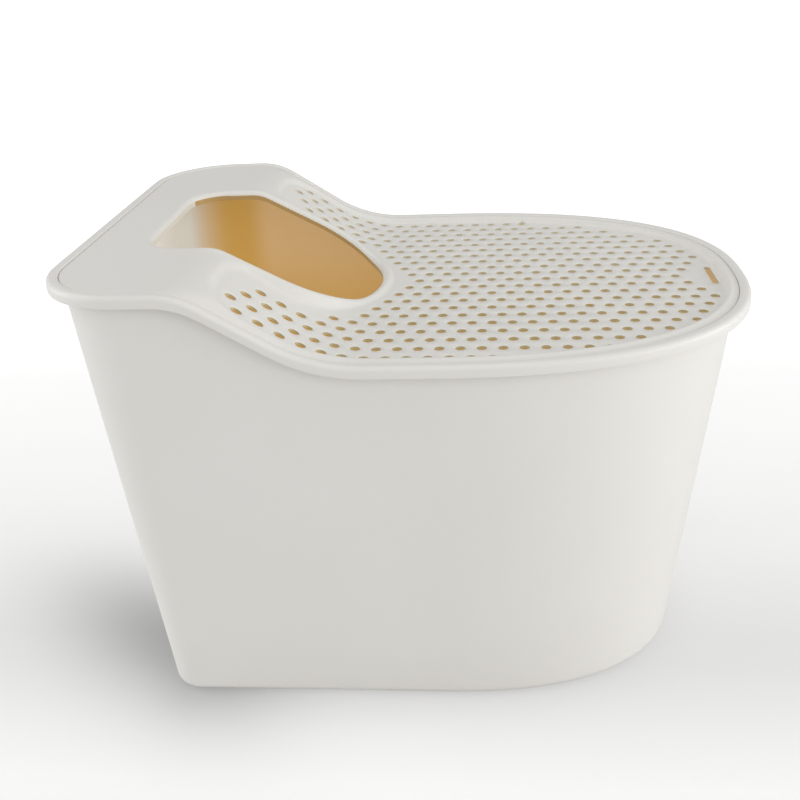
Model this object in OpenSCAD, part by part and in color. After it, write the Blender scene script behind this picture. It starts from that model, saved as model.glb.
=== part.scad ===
// Top entry litter box: a tapered D-shaped tub, a drop-in lid that steps down
// from a high platform to a perforated low panel, and four non-slip feet.
// Origin: on the standing surface, under the middle of the rim.
// +X runs to the round end, +Y to the left of it, +Z up.

/* [Rim of the tub] */
// Length of the rim, flat back end to round tip
rim_length = 530; // [480:5:580]
// Width of the rim at the flat back end
rim_width = 394; // [370:2:430]
// Corner radius of the rim at the back end
rim_corner = 70; // [60:1:85]
// Height of the rim around the high platform
rim_high = 382; // [372:1:420]
// Height of the rim around the low panel
rim_low = 326; // [310:1:336]
// Distance from the back end to the start of the slope
slope_start = 110; // [100:1:118]
// Length of the slope, seen from above
slope_run = 88; // [80:1:94]
// Radius of the bend above the slope
slope_bend = 60; // [30:1:70]
// Radius of the bend at the foot of the slope
slope_foot_bend = 120; // [80:5:130]
// Distance from the back end to where the sides start to round in
nose_start = 276; // [260:2:290]
// Squareness of the round end: 2 is an ellipse, more is squarer
nose_power = 2.4; // [2.2:0.05:2.6]
// Width of the rolled rim, seen from above
lip_width = 8.6; // [8:0.2:11]
// Height of the rolled rim
lip_height = 9; // [8:0.5:14]
// Radius of the rolled rim's outer edge
lip_round = 3.4; // [1.5:0.1:3.6]

/* [Body of the tub] */
// Wall thickness of the tub
wall = 2.4; // [1.8:0.1:3]
// Thickness of the tub's floor
floor_thickness = 3; // [2.6:0.1:5]
// How far the rim stands out past the body
overhang = 10.4; // [10:0.1:11.5]
// Draft angle of the sides
draft_side = 5; // [4:0.1:6]
// Draft angle of the flat back end
draft_back = 4.7; // [4:0.1:6]
// Draft angle of the round end
draft_front = 6.1; // [5:0.1:7]
// Radius of the edge around the base
base_edge = 9; // [4:0.5:14]

/* [Lid] */
// Thickness of the lid
lid_sheet = 2.4; // [1.8:0.1:3]
// Gap between the lid's edge and the rim around it
lid_gap = 0.7; // [0.3:0.1:1]
// How far the lid's edge and platform lie below the top of the rim
lid_sink = 1; // [0.4:0.1:1.6]
// Depth of the locating skirt below the lid's edge
skirt_depth = 12; // [10:0.5:16]
// Gap between the locating skirt and the ledge in the tub
skirt_gap = 0.5; // [0.3:0.1:0.8]

/* [Perforated panel] */
// Depth of the panel below the rim on the low level
panel_depth = 5; // [4.6:0.1:6]
// Depth of the panel below the rim at the top of the slope
panel_depth_top = 3.2; // [3:0.1:3.6]
// Depth of the panel below the rim in the middle of the slope
panel_depth_slope = 2.8; // [2.4:0.1:3]
// Distance from the back end to the panel's upper edge
panel_start = 117; // [112:1:124]
// Corner radius of the panel beside the entry
panel_corner_inner = 28; // [20:1:34]
// Corner radius of the panel beside the rim
panel_corner_outer = 44; // [20:1:50]
// Diameter of the holes
hole_d = 8; // [5:0.2:8.2]
// Distance between holes in a row on the low level
hole_pitch = 15.28; // [14:0.02:18]
// Distance between holes in a row on the slope, seen from above
hole_pitch_slope = 14.44; // [13:0.02:15]
// Distance between the rows
row_pitch = 16.4; // [13:0.2:18]
// Distance from the rim's outer edge that the holes keep
hole_margin = 21; // [21:0.5:28]
// Distance from the panel's upper edge that the holes keep
hole_margin_top = 15; // [13:0.5:20]

/* [Entry opening] */
// Distance from the back end to the entry's back edge
entry_start = 54; // [48:1:60]
// Length of the entry, seen from above
entry_length = 179; // [172:1:186]
// Width of the entry
entry_width = 156; // [140:1:164]
// Radius of the entry's back corners
entry_corner = 36; // [20:1:50]
// Depth of the turned-down edge around the entry
entry_lip = 8; // [6:0.5:12]
// Width of the raised collar around the entry
collar_width = 9.6; // [8:0.2:11]
// Height of the collar's top below the rim at the foot of the slope
collar_depth = 2; // [1:0.1:3]
// Distance from the back end to the start of the collar's slope
collar_slope_start = 113; // [108:1:118]
// Length of the collar's slope, seen from above
collar_slope_run = 106; // [96:1:112]
// Radius of the bends above and below the collar's slope
collar_bend = 30; // [20:1:40]
// Distance from the entry's edge that the holes keep on the low level
entry_margin = 16; // [16:0.5:20]
// Distance from the entry's edge that the holes keep on the slope
entry_margin_slope = 26; // [22:0.5:28]

/* [Scoop slot] */
// Length of the slot, across the lid
slot_length = 42; // [30:1:50]
// Width of the slot
slot_width = 5.2; // [4.6:0.1:7]
// Distance from the round tip of the rim to the middle of the slot
slot_inset = 25; // [24:0.5:30]
// Distance from the middle of the slot to the nearest hole of the middle row
slot_to_hole = 29.4; // [24:0.1:34]

/* [Feet] */
// Diameter of a foot pad
foot_d = 26; // [16:1:34]
// Thickness of a foot pad
foot_thickness = 3; // [2.4:0.1:4]
// Depth of the socket that holds a foot pad
foot_socket = 1.5; // [0.8:0.1:1.8]
// Gap around a foot pad in its socket
foot_gap = 0.1; // [0.05:0.05:0.3]
// Distance from the base's back edge to the back feet
foot_back_inset = 38; // [30:1:60]
// Distance from the round end of the base to the front feet
foot_front_inset = 72; // [60:1:100]
// Distance of the back feet from the centreline
foot_back_y = 112; // [80:1:118]
// Distance of the front feet from the centreline
foot_front_y = 86; // [60:1:96]

/* [Hidden] */

ivory = [0.93, 0.91, 0.87];
rubber_grey = [0.62, 0.61, 0.58];

bend_steps = 7;
corner_steps = 10;
nose_steps = 24;
edge_steps = 5;
lip_steps = 4;
round_fn = 96;
hole_fn = 24;
joint_depth = 0.4;
wide = rim_width + 100;
tall = rim_high + 100;

x_back = -rim_length / 2;
x_tip = rim_length / 2;
x_nose = x_back + nose_start;
x_slope = x_back + slope_start;
x_slope_end = x_slope + slope_run;

// A ramp is [high level, low level, start, end, upper and lower bend radius]
function ramp_angle(ramp) = atan((ramp[0] - ramp[1]) / (ramp[3] - ramp[2]));
function ramp_start(ramp) = ramp[2] - ramp[4] * tan(ramp_angle(ramp) / 2);
function ramp_end(ramp) = ramp[3] + ramp[5] * tan(ramp_angle(ramp) / 2);
function ramp_z(ramp, x) =
    x < ramp_start(ramp) ? ramp[0] :
    x < ramp_start(ramp) + ramp[4] * sin(ramp_angle(ramp)) ?
        ramp[0] - ramp[4] + sqrt(pow(ramp[4], 2) - pow(x - ramp_start(ramp), 2)) :
    x < ramp_end(ramp) - ramp[5] * sin(ramp_angle(ramp)) ?
        ramp[0] - (x - ramp[2]) * tan(ramp_angle(ramp)) :
    x < ramp_end(ramp) ?
        ramp[1] + ramp[5] - sqrt(pow(ramp[5], 2) - pow(ramp_end(ramp) - x, 2)) :
    ramp[1];
function ramp_xs(ramp) = concat(
    [for (i = [0 : bend_steps])
        ramp_start(ramp) + ramp[4] * sin(ramp_angle(ramp) * i / bend_steps)],
    [for (i = [bend_steps : -1 : 0])
        ramp_end(ramp) - ramp[5] * sin(ramp_angle(ramp) * i / bend_steps)]
);

// The rim, the panel and the collar each run down a ramp of their own
rim_ramp = [rim_high, rim_low, x_slope, x_slope_end, slope_bend, slope_foot_bend];
slope_rise = tan(ramp_angle(rim_ramp));
panel_ramp = [
    rim_high - panel_depth_top,
    rim_low - panel_depth,
    x_slope + (panel_depth_top - panel_depth_slope) / slope_rise,
    x_slope_end + (panel_depth - panel_depth_slope) / slope_rise,
    slope_bend,
    slope_foot_bend,
];
collar_ramp = [
    rim_high - lid_sink,
    rim_low - collar_depth,
    x_back + collar_slope_start,
    x_back + collar_slope_start + collar_slope_run,
    collar_bend,
    collar_bend,
];

// Half the rim's width: the sides keep their draft as the rim steps down
half_low = rim_width / 2 - (rim_high - rim_low) * tan(draft_side);
function side_half(x, inset) =
    half_low - inset + (ramp_z(rim_ramp, x) - rim_low) * tan(draft_side);
function rim_half(x, inset) =
    x < x_nose ? side_half(x, inset) :
    x > x_tip - inset ? 0 :
    (half_low - inset)
        * pow(1 - pow((x - x_nose) / (x_tip - inset - x_nose), nose_power), 1 / nose_power);

function mirrored(points) = concat(
    points,
    [for (i = [len(points) - 2 : -1 : 0]) [points[i].x, -points[i].y]]
);
function corner_arc(x, y, radius) = [
    for (i = [0 : corner_steps])
        let (a = 90 * i / corner_steps)
        [x + radius * (1 - cos(a)), y - radius * (1 - sin(a))]
];
function nose_arc(x_start, x_end, half) = [
    for (i = [1 : nose_steps])
        let (a = 90 * i / nose_steps)
        [x_start + (x_end - x_start) * pow(sin(a), 2 / nose_power),
         i == nose_steps ? 0 : half * pow(cos(a), 2 / nose_power)]
];

// Plan of the rim, moved in by a distance
function rim_outline(inset) = mirrored(concat(
    corner_arc(x_back + inset, rim_width / 2 - inset, rim_corner - inset),
    [for (x = ramp_xs(rim_ramp)) [x, side_half(x, inset)]],
    [[x_nose, half_low - inset]],
    nose_arc(x_nose, x_tip - inset, half_low - inset)
));

// Plan of the body at a height, moved in by a distance
function body_back(z) = x_back + overhang + (rim_high - z) * tan(draft_back);
function body_front(z) = x_tip - overhang - (rim_low - z) * tan(draft_front);
function body_half(z) = half_low - overhang - (rim_low - z) * tan(draft_side);
function body_corner(z) = rim_corner - overhang - (rim_high - z) * tan(draft_side);
function body_outline(z, inset) = mirrored(concat(
    corner_arc(body_back(z) + inset, body_half(z) - inset, max(1, body_corner(z) - inset)),
    [[x_nose, body_half(z) - inset]],
    nose_arc(x_nose, body_front(z) - inset, body_half(z) - inset)
));

// Levels of the tub, and insets of the pieces that meet inside its rim
base_z = foot_thickness - foot_socket;
inside_z = base_z + floor_thickness;
ledge_drop = lid_sink + lid_sheet;
ledge_in = overhang + wall + 1;
skirt_out = ledge_in + skirt_gap;
recess_in = skirt_out + lid_sheet;
lid_edge = lip_width + lid_gap;

// Places of the entry, the panel and the slot
entry_r = entry_width / 2;
x_entry = x_back + entry_start;
x_entry_centre = x_entry + entry_length - entry_r;
x_panel = x_back + panel_start;
x_slot = x_tip - slot_inset;

// Rows of holes: every second row is shifted by half a pitch, and the pitch is less
// on the slope
x_lattice = x_slot - slot_to_hole;
x_foot = (x_slope_end + ramp_end(rim_ramp)) / 2;
function column_x(column) =
    let (x = x_lattice + column * hole_pitch / 2)
    x > x_foot ? x : x_foot + (x - x_foot) * hole_pitch_slope / hole_pitch;
column_last = ceil((x_tip - x_lattice) / hole_pitch * 2);
column_first = floor((x_panel - x_lattice) / hole_pitch_slope * 2);
row_last = floor(half_low / row_pitch);
function beside_entry(x, y) =
    x < x_entry_centre ? abs(y) - entry_r : norm([x - x_entry_centre, y]) - entry_r;
function clear_of_corner(x, y) =
    x - x_panel + abs(y) - entry_r - collar_width > panel_corner_inner + 1.5 * hole_margin_top;
function clear_of_slot(x, y) =
    abs(y) > slot_length / 2 + hole_pitch
    || x_slot - x > slot_to_hole - abs(y) / 2 - slot_width / 2;
function hole_fits(x, y) =
    abs(y) <= rim_half(x, hole_margin)
    && x > x_panel + hole_margin_top
    && beside_entry(x, y) > (x < x_foot ? entry_margin_slope : entry_margin)
    && clear_of_corner(x, y)
    && clear_of_slot(x, y);

// The room between two levels below a ramp
module ramp_band(ramp, drop_top, drop_bottom) {
    xs = concat([x_back - 20], ramp_xs(ramp), [x_tip + 20]);
    rotate([90, 0, 0])
        linear_extrude(wide, center = true)
            polygon(concat(
                [for (x = xs) [x, ramp_z(ramp, x) - drop_top]],
                [for (i = [len(xs) - 1 : -1 : 0]) [xs[i], ramp_z(ramp, xs[i]) - drop_bottom]]
            ));
}

// All the room above the underside of the panel
module above_panel() {
    ramp_band(panel_ramp, -tall, lid_sheet);
}

// A band swept around the rim: its section is a loop of [inset, drop below the rim]
module rim_sweep(section) {
    loops = [for (p = section) rim_outline(p.x)];
    count = len(loops[0]);
    sides = len(section);
    points = [
        for (i = [0 : count - 1], j = [0 : sides - 1])
            [loops[j][i].x, loops[j][i].y, ramp_z(rim_ramp, loops[j][i].x) - section[j].y]
    ];
    faces = [
        for (i = [0 : count - 1], j = [0 : sides - 1])
            let (
                a = i * sides + j,
                b = i * sides + (j + 1) % sides,
                c = ((i + 1) % count) * sides + (j + 1) % sides,
                d = ((i + 1) % count) * sides + j
            )
            each [[a, c, b], [a, d, c]]
    ];
    polyhedron(points, faces, convexity = 8);
}

// A wall between two insets of the rim's plan and two levels below the rim
module rim_ring(inset_out, inset_in, drop_top, drop_bottom) {
    intersection() {
        linear_extrude(tall)
            difference() {
                polygon(rim_outline(inset_out));
                polygon(rim_outline(inset_in));
            }
        ramp_band(rim_ramp, drop_top, drop_bottom);
    }
}

// The tapered body as a solid, moved in by a distance, with a round edge at its base
module body_solid(z_base, inset, edge) {
    z_top = rim_high + 20;
    hull() {
        for (i = [0 : edge_steps]) {
            a = 90 * i / edge_steps;
            translate([0, 0, z_base + edge * (1 - sin(a))])
                linear_extrude(0.01)
                    polygon(body_outline(z_base + edge, inset + edge * (1 - cos(a))));
        }
        translate([0, 0, z_top])
            linear_extrude(0.01)
                polygon(body_outline(z_top, inset));
    }
}

// Places of the feet
x_foot_back = body_back(base_z) + foot_back_inset;
x_foot_front = body_front(base_z) - foot_front_inset;
foot_places = [
    [x_foot_back, foot_back_y],
    [x_foot_back, -foot_back_y],
    [x_foot_front, foot_front_y],
    [x_foot_front, -foot_front_y],
];

// Tapered shell with a rolled rim, and a ledge inside the rim that carries the lid
module tub() {
    lip_section = concat(
        [[0, lip_height]],
        [for (i = [0 : lip_steps])
            let (a = 90 * i / lip_steps)
            [lip_round * (1 - cos(a)), lip_round * (1 - sin(a))]],
        [
            [lip_width - 1, 0],
            [lip_width, 1],
            [lip_width, ledge_drop],
            [ledge_in, ledge_drop],
            [ledge_in, ledge_drop + wall],
            [lip_width - wall, ledge_drop + wall],
            [lip_width - wall, wall],
            [wall, wall],
            [wall, lip_height],
        ]
    );
    color(ivory) {
        difference() {
            intersection() {
                body_solid(base_z, 0, base_edge);
                ramp_band(rim_ramp, ledge_drop + joint_depth, tall);
            }
            body_solid(inside_z, wall, base_edge - wall);
            for (p = foot_places)
                translate([p.x, p.y, base_z - 1])
                    cylinder(d = foot_d + 2 * foot_gap, h = foot_socket + 1, $fn = round_fn);
        }
        rim_sweep(lip_section);
    }
}

// Plan of the entry: straight sides, a half round end and rounded back corners
module entry_plan(grow) {
    translate([x_entry_centre, 0])
        circle(r = entry_r + grow, $fn = round_fn);
    translate([x_entry + entry_corner, -entry_r - grow])
        square([x_entry_centre - x_entry - entry_corner, entry_width + 2 * grow]);
    translate([x_entry - grow, -entry_r + entry_corner])
        square([entry_corner + grow, entry_width - 2 * entry_corner]);
    for (side = [-1, 1])
        translate([x_entry + entry_corner, side * (entry_r - entry_corner)])
            circle(r = entry_corner + grow, $fn = round_fn);
}

// Plan of the sunk panel: inside the skirt, round at its upper corners, around the collar
module panel_plan(grow) {
    x_in = x_panel + panel_corner_inner;
    x_out = x_panel + panel_corner_outer;
    y_in = entry_r + collar_width + panel_corner_inner;
    y_out = side_half(x_out, recess_in) - panel_corner_outer;
    difference() {
        intersection() {
            polygon(rim_outline(recess_in - grow));
            union() {
                translate([x_out, -wide / 2])
                    square([rim_length, wide]);
                for (side = [0, 1])
                    mirror([0, side]) {
                        translate([x_in, y_in])
                            circle(r = panel_corner_inner + grow, $fn = round_fn);
                        translate([x_out, y_out])
                            circle(r = panel_corner_outer + grow, $fn = round_fn);
                        translate([x_panel - grow, y_in])
                            square([panel_corner_outer, y_out - y_in]);
                        translate([x_in, y_in - panel_corner_inner - 1])
                            square([panel_corner_outer, y_out - y_in + panel_corner_inner]);
                    }
            }
        }
        entry_plan(collar_width);
        translate([x_back, -entry_r - collar_width])
            square([x_entry_centre - x_back, entry_width + 2 * collar_width]);
    }
}

// Plan of every hole in the panel
module hole_pattern() {
    for (row = [-row_last : row_last], column = [column_first : column_last])
        if ((row + column) % 2 == 0) {
            x = column_x(column);
            y = row * row_pitch;
            if (hole_fits(x, y))
                translate([x, y])
                    circle(d = hole_d, $fn = hole_fn);
        }
}

module slot_plan() {
    translate([x_slot, 0]) {
        square([slot_width, slot_length - slot_width], center = true);
        for (side = [-1, 1])
            translate([0, side * (slot_length - slot_width) / 2])
                circle(d = slot_width, $fn = 32);
    }
}

// One moulded sheet: edge and platform level with the rim, a collar around the entry,
// and the perforated panel sunk between them
module lid() {
    color(ivory) {
        intersection() {
            linear_extrude(tall)
                difference() {
                    polygon(rim_outline(lid_edge));
                    panel_plan(0);
                    entry_plan(collar_width - joint_depth);
                }
            ramp_band(rim_ramp, lid_sink, lid_sink + lid_sheet);
        }
        intersection() {
            linear_extrude(tall)
                difference() {
                    panel_plan(joint_depth);
                    hole_pattern();
                    slot_plan();
                }
            ramp_band(panel_ramp, 0, lid_sheet);
        }
        intersection() {
            linear_extrude(tall)
                difference() {
                    panel_plan(lid_sheet);
                    panel_plan(0);
                    entry_plan(collar_width - joint_depth);
                }
            ramp_band(rim_ramp, lid_sink, tall);
            above_panel();
        }
        intersection() {
            linear_extrude(tall)
                difference() {
                    entry_plan(collar_width);
                    entry_plan(collar_width - lid_sheet);
                }
            ramp_band(collar_ramp, 0, tall);
            above_panel();
        }
        intersection() {
            linear_extrude(tall)
                difference() {
                    entry_plan(collar_width);
                    entry_plan(0);
                }
            ramp_band(collar_ramp, 0, lid_sheet);
        }
        intersection() {
            linear_extrude(tall)
                difference() {
                    entry_plan(lid_sheet);
                    entry_plan(0);
                }
            ramp_band(collar_ramp, 0, entry_lip);
        }
        rim_ring(skirt_out, recess_in, lid_sink, lid_sink + skirt_depth);
    }
}

module foot(x, y) {
    color(rubber_grey)
        translate([x, y, 0])
            cylinder(d = foot_d, h = foot_thickness, $fn = round_fn);
}

tub();
lid();
foot(x_foot_back, foot_back_y);  // foot_back_left
foot(x_foot_back, -foot_back_y);  // foot_back_right
foot(x_foot_front, foot_front_y);  // foot_front_left
foot(x_foot_front, -foot_front_y);  // foot_front_right
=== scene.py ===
"""Looks of the top entry litter box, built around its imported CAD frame.

The tub, the perforated lid and the four foot pads are remodelled with their moulded
rounds and fillets where the CAD nodes stand. Lengths of the tub, the lid and the pads
are in millimetres and are turned into metres when a mesh is made. Lengths in the
finishes and in the studio are in metres.
"""

from __future__ import annotations

import logging
import math
from collections.abc import Callable
from dataclasses import dataclass
from enum import Enum, IntEnum

import bmesh
import bpy
import numpy as np
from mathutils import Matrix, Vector
from mathutils.geometry import delaunay_2d_cdt

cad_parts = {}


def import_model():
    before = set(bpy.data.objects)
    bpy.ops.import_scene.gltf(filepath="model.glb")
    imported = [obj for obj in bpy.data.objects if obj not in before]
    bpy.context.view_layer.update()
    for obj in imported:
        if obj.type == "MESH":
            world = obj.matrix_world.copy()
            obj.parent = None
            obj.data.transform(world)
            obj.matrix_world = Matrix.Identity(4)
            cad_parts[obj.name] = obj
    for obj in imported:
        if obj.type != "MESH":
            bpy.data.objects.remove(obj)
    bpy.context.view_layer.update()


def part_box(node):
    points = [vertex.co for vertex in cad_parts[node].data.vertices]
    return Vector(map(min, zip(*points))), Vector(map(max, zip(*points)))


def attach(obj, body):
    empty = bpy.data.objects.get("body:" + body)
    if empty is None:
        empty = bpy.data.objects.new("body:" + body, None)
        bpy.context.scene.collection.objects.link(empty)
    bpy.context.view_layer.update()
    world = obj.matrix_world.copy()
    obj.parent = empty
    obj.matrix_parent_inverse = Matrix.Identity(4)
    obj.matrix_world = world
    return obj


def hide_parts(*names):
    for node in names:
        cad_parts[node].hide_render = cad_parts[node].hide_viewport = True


LOG = logging.getLogger("litter_box")
MM = 0.001
TINY = 1e-6
LEAST_SLOPE = 1e-9
UPRIGHT = 0.5  # a face whose normal rises less is a wall
ON_EDGE = 0.02  # millimetres from an edge that still count as on it

Socket = bpy.types.NodeSocket
Rgba = tuple[float, float, float, float]
Place = tuple[float, float, float]
Pairs = tuple[tuple[float, float], ...]


class Side(Enum):
    """A side of the box, seen from the flat back end towards the round end."""

    LEFT = "left"
    RIGHT = "right"


class End(Enum):
    """An end of the box."""

    BACK = "back"
    FRONT = "front"


class BodyName(Enum):
    """The CAD bodies that the pieces ride on."""

    TUB = "tub"
    LID = "lid"


class SlotName(Enum):
    """Names of the material slots."""

    IVORY = "ivory_plastic"
    RUBBER = "grey_rubber"


class Border(IntEnum):
    """What a point of the lid's plan lies on. Each hole has a number of its own."""

    NONE = 0
    RIM = 1
    ENTRY = 2
    SLOT = 3
    FIRST_HOLE = 10


class ShellFace(IntEnum):
    """The material slots of the tub and the skirt."""

    IVORY = 0
    INTERIOR = 1


class SheetFace(IntEnum):
    """The material slots of the lid's sheet."""

    IVORY = 0
    HOLE_EDGE = 1
    LIP_EDGE = 2
    ENTRY_EDGE = 3


def smoothstep(t: np.ndarray) -> np.ndarray:
    """Ease from 0 to 1 with level ends."""
    t = np.clip(t, 0.0, 1.0)
    return t * t * (3.0 - 2.0 * t)


def quarter(step: int, steps: int) -> float:
    """Angle of one step through a quarter turn."""
    return math.radians(90 * step / steps)


def rounding(radius: float, past: np.ndarray) -> np.ndarray:
    """How far a rounded edge falls away.

    Args:
        radius: the edge's radius.
        past: distance inwards from the edge.

    Returns:
        The fall, 0 where the distance is more than the radius.
    """
    near = np.clip(radius - past, 0.0, radius)
    return radius - np.sqrt(radius * radius - near * near)


# ---------------------------------------------------------------- plan and levels


@dataclass(frozen=True)
class Ramp:
    """A level that steps down along +X through two round bends."""

    high: float
    low: float
    start: float
    end: float
    top_bend: float
    foot_bend: float

    def height(self, x: np.ndarray) -> np.ndarray:
        """Level of the ramp.

        Args:
            x: places along the box.

        Returns:
            The height at each place.
        """
        x = np.asarray(x, float)
        angle = math.atan((self.high - self.low) / (self.end - self.start))
        first = self.start - self.top_bend * math.tan(angle / 2)
        last = self.end + self.foot_bend * math.tan(angle / 2)
        top_reach = self.top_bend * math.sin(angle)
        foot_reach = self.foot_bend * math.sin(angle)
        over = np.clip(x - first, 0.0, top_reach)
        under = np.clip(last - x, 0.0, foot_reach)
        top = self.high - self.top_bend + np.sqrt(self.top_bend**2 - over**2)
        foot = self.low + self.foot_bend - np.sqrt(self.foot_bend**2 - under**2)
        slope = self.high - (x - self.start) * math.tan(angle)
        return np.where(
            x < first + top_reach, top, np.where(x > last - foot_reach, foot, slope)
        )


@dataclass(frozen=True)
class BoxPlan:
    """The outline and the levels that the tub and the lid share."""

    length: float = 530.0
    width: float = 394.0
    corner: float = 70.0
    high: float = 382.0
    low: float = 326.0
    slope_start: float = 110.0
    slope_run: float = 88.0
    top_bend: float = 60.0
    foot_bend: float = 120.0
    nose_start: float = 276.0
    nose_power: float = 2.4
    draft_side: float = 5.0
    draft_back: float = 4.7
    draft_front: float = 6.1
    overhang: float = 10.4
    least_corner: float = 1.0
    headroom: float = 20.0
    corner_steps: int = 18
    side_steps: int = 56
    nose_steps: int = 56
    back_steps: int = 12
    fit_rounds: int = 5
    halvings: int = 40

    @property
    def back(self) -> float:
        """Place of the flat back end."""
        return -self.length / 2

    @property
    def tip(self) -> float:
        """Place of the round tip."""
        return self.length / 2

    @property
    def nose(self) -> float:
        """Where the sides start to round in."""
        return self.back + self.nose_start

    @property
    def side_lean(self) -> float:
        """How far the sides lean out for each millimetre of height."""
        return math.tan(math.radians(self.draft_side))

    @property
    def rim(self) -> Ramp:
        """The ramp of the rim's top.

        Returns:
            The ramp.
        """
        start = self.back + self.slope_start
        end = start + self.slope_run
        return Ramp(self.high, self.low, start, end, self.top_bend, self.foot_bend)

    @property
    def half_low(self) -> float:
        """Half the rim's width on the low level."""
        return self.width / 2 - (self.high - self.low) * self.side_lean

    def _loop(
        self, back: float, front: float, corner: float, half_back: float,
        half_nose: float, side_half: Callable[[float], float],
    ) -> np.ndarray:
        """Closed outline with the same number of points for every set of sizes.

        Args:
            back: place of the flat end.
            front: place of the round tip.
            corner: radius of the back corners.
            half_back: half the width at the back corners.
            half_nose: half the width where the sides start to round in.
            side_half: half the width at a place along a side.

        Returns:
            An array of points, one row each.
        """
        points: list[tuple[float, float]] = []
        for i in range(self.corner_steps + 1):
            turn = quarter(i, self.corner_steps)
            points.append(
                (back + corner * (1 - math.cos(turn)), half_back - corner * (1 - math.sin(turn)))
            )
        first = back + corner
        for i in range(1, self.side_steps + 1):
            x = first + (self.nose - first) * i / self.side_steps
            points.append((x, side_half(x)))
        power = 2 / self.nose_power
        for i in range(1, self.nose_steps + 1):
            turn = quarter(i, self.nose_steps)
            x = self.nose + (front - self.nose) * math.sin(turn) ** power
            y = 0.0 if i == self.nose_steps else half_nose * math.cos(turn) ** power
            points.append((x, y))
        points += [(x, -y) for x, y in reversed(points[:-1])]
        y_last = points[-1][1]
        points += [
            (back, y_last * (1 - 2 * i / self.back_steps)) for i in range(1, self.back_steps)
        ]
        return np.array(points)

    def rim_loop(self, inset: float) -> np.ndarray:
        """Outline of the rim, moved in.

        Args:
            inset: distance from the rim's outer edge.

        Returns:
            An array of points, one row each.
        """

        def side_half(x: float) -> float:
            """Half the width of the rim, which narrows as it comes down the slope."""
            return self.half_low - inset + (float(self.rim.height(x)) - self.low) * self.side_lean

        return self._loop(
            self.back + inset, self.tip - inset, self.corner - inset,
            self.width / 2 - inset, self.half_low - inset, side_half,
        )

    def rim_rings(self, section: list[tuple[float, float]]) -> list[np.ndarray]:
        """Rings of a section that is swept round the rim's outline.

        Args:
            section: inset from the rim's outer edge and drop below its top, in pairs.

        Returns:
            One array of x, y, z rows for each pair.
        """
        rings = []
        for inset, drop in section:
            loop = self.rim_loop(inset)
            rings.append(np.column_stack([loop, self.rim.height(loop[:, 0]) - drop]))
        return rings

    def body_loop(self, level: float, inset: float) -> np.ndarray:
        """Outline of the tapered body at one level.

        Args:
            level: height above the floor.
            inset: distance inwards from the body's outer face.

        Returns:
            An array of points, one row each.
        """
        back = self.back + self.overhang
        back += (self.high - level) * math.tan(math.radians(self.draft_back)) + inset
        front = self.tip - self.overhang
        front -= (self.low - level) * math.tan(math.radians(self.draft_front)) + inset
        half = self.half_low - self.overhang - (self.low - level) * self.side_lean - inset
        corner = self.corner - self.overhang - (self.high - level) * self.side_lean - inset
        corner = max(self.least_corner, corner)
        return self._loop(back, front, corner, half, half, lambda x: half)

    def body_loop_under_rim(self, drop: float, inset: float) -> np.ndarray:
        """Outline of the body a distance below the rim, with its heights.

        Args:
            drop: distance below the rim's top.
            inset: distance inwards from the body's outer face.

        Returns:
            An array of x, y, z rows.
        """
        span = self.high + self.headroom
        high = self.body_loop(span, inset)
        low = self.body_loop(0.0, inset)
        z = self.rim.height(high[:, 0]) - drop
        for _ in range(self.fit_rounds):
            plan = low + (high - low) * (z / span)[:, None]
            z = self.rim.height(plan[:, 0]) - drop
        return np.column_stack([plan, z])

    def inset_at(self, x: np.ndarray, y: np.ndarray) -> np.ndarray:
        """Inset of places from the rim's outer edge.

        Args:
            x: places along the box.
            y: places across the box.

        Returns:
            The inset that the rim's outline has at each place.
        """
        near = np.abs(y)
        cx, cy = self.back + self.corner, self.width / 2 - self.corner
        corner = self.corner - np.hypot(x - cx, near - cy)
        back = x - self.back
        side = self.half_low + (self.rim.height(x) - self.low) * self.side_lean - near
        low = np.zeros_like(near)
        high = np.full_like(near, self.half_low - 1.0)
        reach = np.maximum(x - self.nose, 0.0)
        for _ in range(self.halvings):
            middle = (low + high) / 2
            long = np.maximum(self.tip - middle - self.nose, TINY)
            wide = np.maximum(self.half_low - middle, TINY)
            value = (reach / long) ** self.nose_power + (near / wide) ** self.nose_power
            low = np.where(value < 1, middle, low)
            high = np.where(value < 1, high, middle)
        nose = (low + high) / 2
        behind = np.where(near > cy, corner, back)
        beside = np.where(x > cx, np.minimum(side, back), behind)
        return np.where(x > self.nose, nose, beside)


# ---------------------------------------------------------------- shared mesh work


def deselect_all() -> None:
    """Leave object mode with nothing selected."""
    if bpy.context.object is not None and bpy.context.object.mode != "OBJECT":
        bpy.ops.object.mode_set(mode="OBJECT")
    bpy.ops.object.select_all(action="DESELECT")


def only(piece: bpy.types.Object) -> None:
    """Select one object and make it the active one.

    Args:
        piece: the object.
    """
    deselect_all()
    piece.select_set(True)
    bpy.context.view_layer.objects.active = piece


def apply_place(piece: bpy.types.Object) -> None:
    """Put a piece's place into its mesh, so that its object sits at the origin."""
    only(piece)
    bpy.ops.object.transform_apply(location=True, rotation=True, scale=True)


def smooth(piece: bpy.types.Object, degrees: float) -> None:
    """Shade a piece smooth, with creases where its faces meet at more than an angle."""
    only(piece)
    bpy.ops.object.shade_smooth_by_angle(angle=math.radians(degrees))


def dress(
    piece: bpy.types.Object, body: BodyName, slot: SlotName, nodes: tuple[str, ...] = ()
) -> None:
    """Tie a finished piece to its CAD body and hide the CAD nodes that it stands for.

    Args:
        piece: the finished piece.
        body: the body that it rides on.
        slot: the material slot that its finish belongs to; not used.
        nodes: the CAD nodes that it stands for.
    """
    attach(piece, body.value)
    if nodes:
        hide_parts(*nodes)


def level_ring(loop: np.ndarray, level: float) -> np.ndarray:
    """A plan outline at one height."""
    return np.column_stack([loop, np.full(len(loop), level)])


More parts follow.
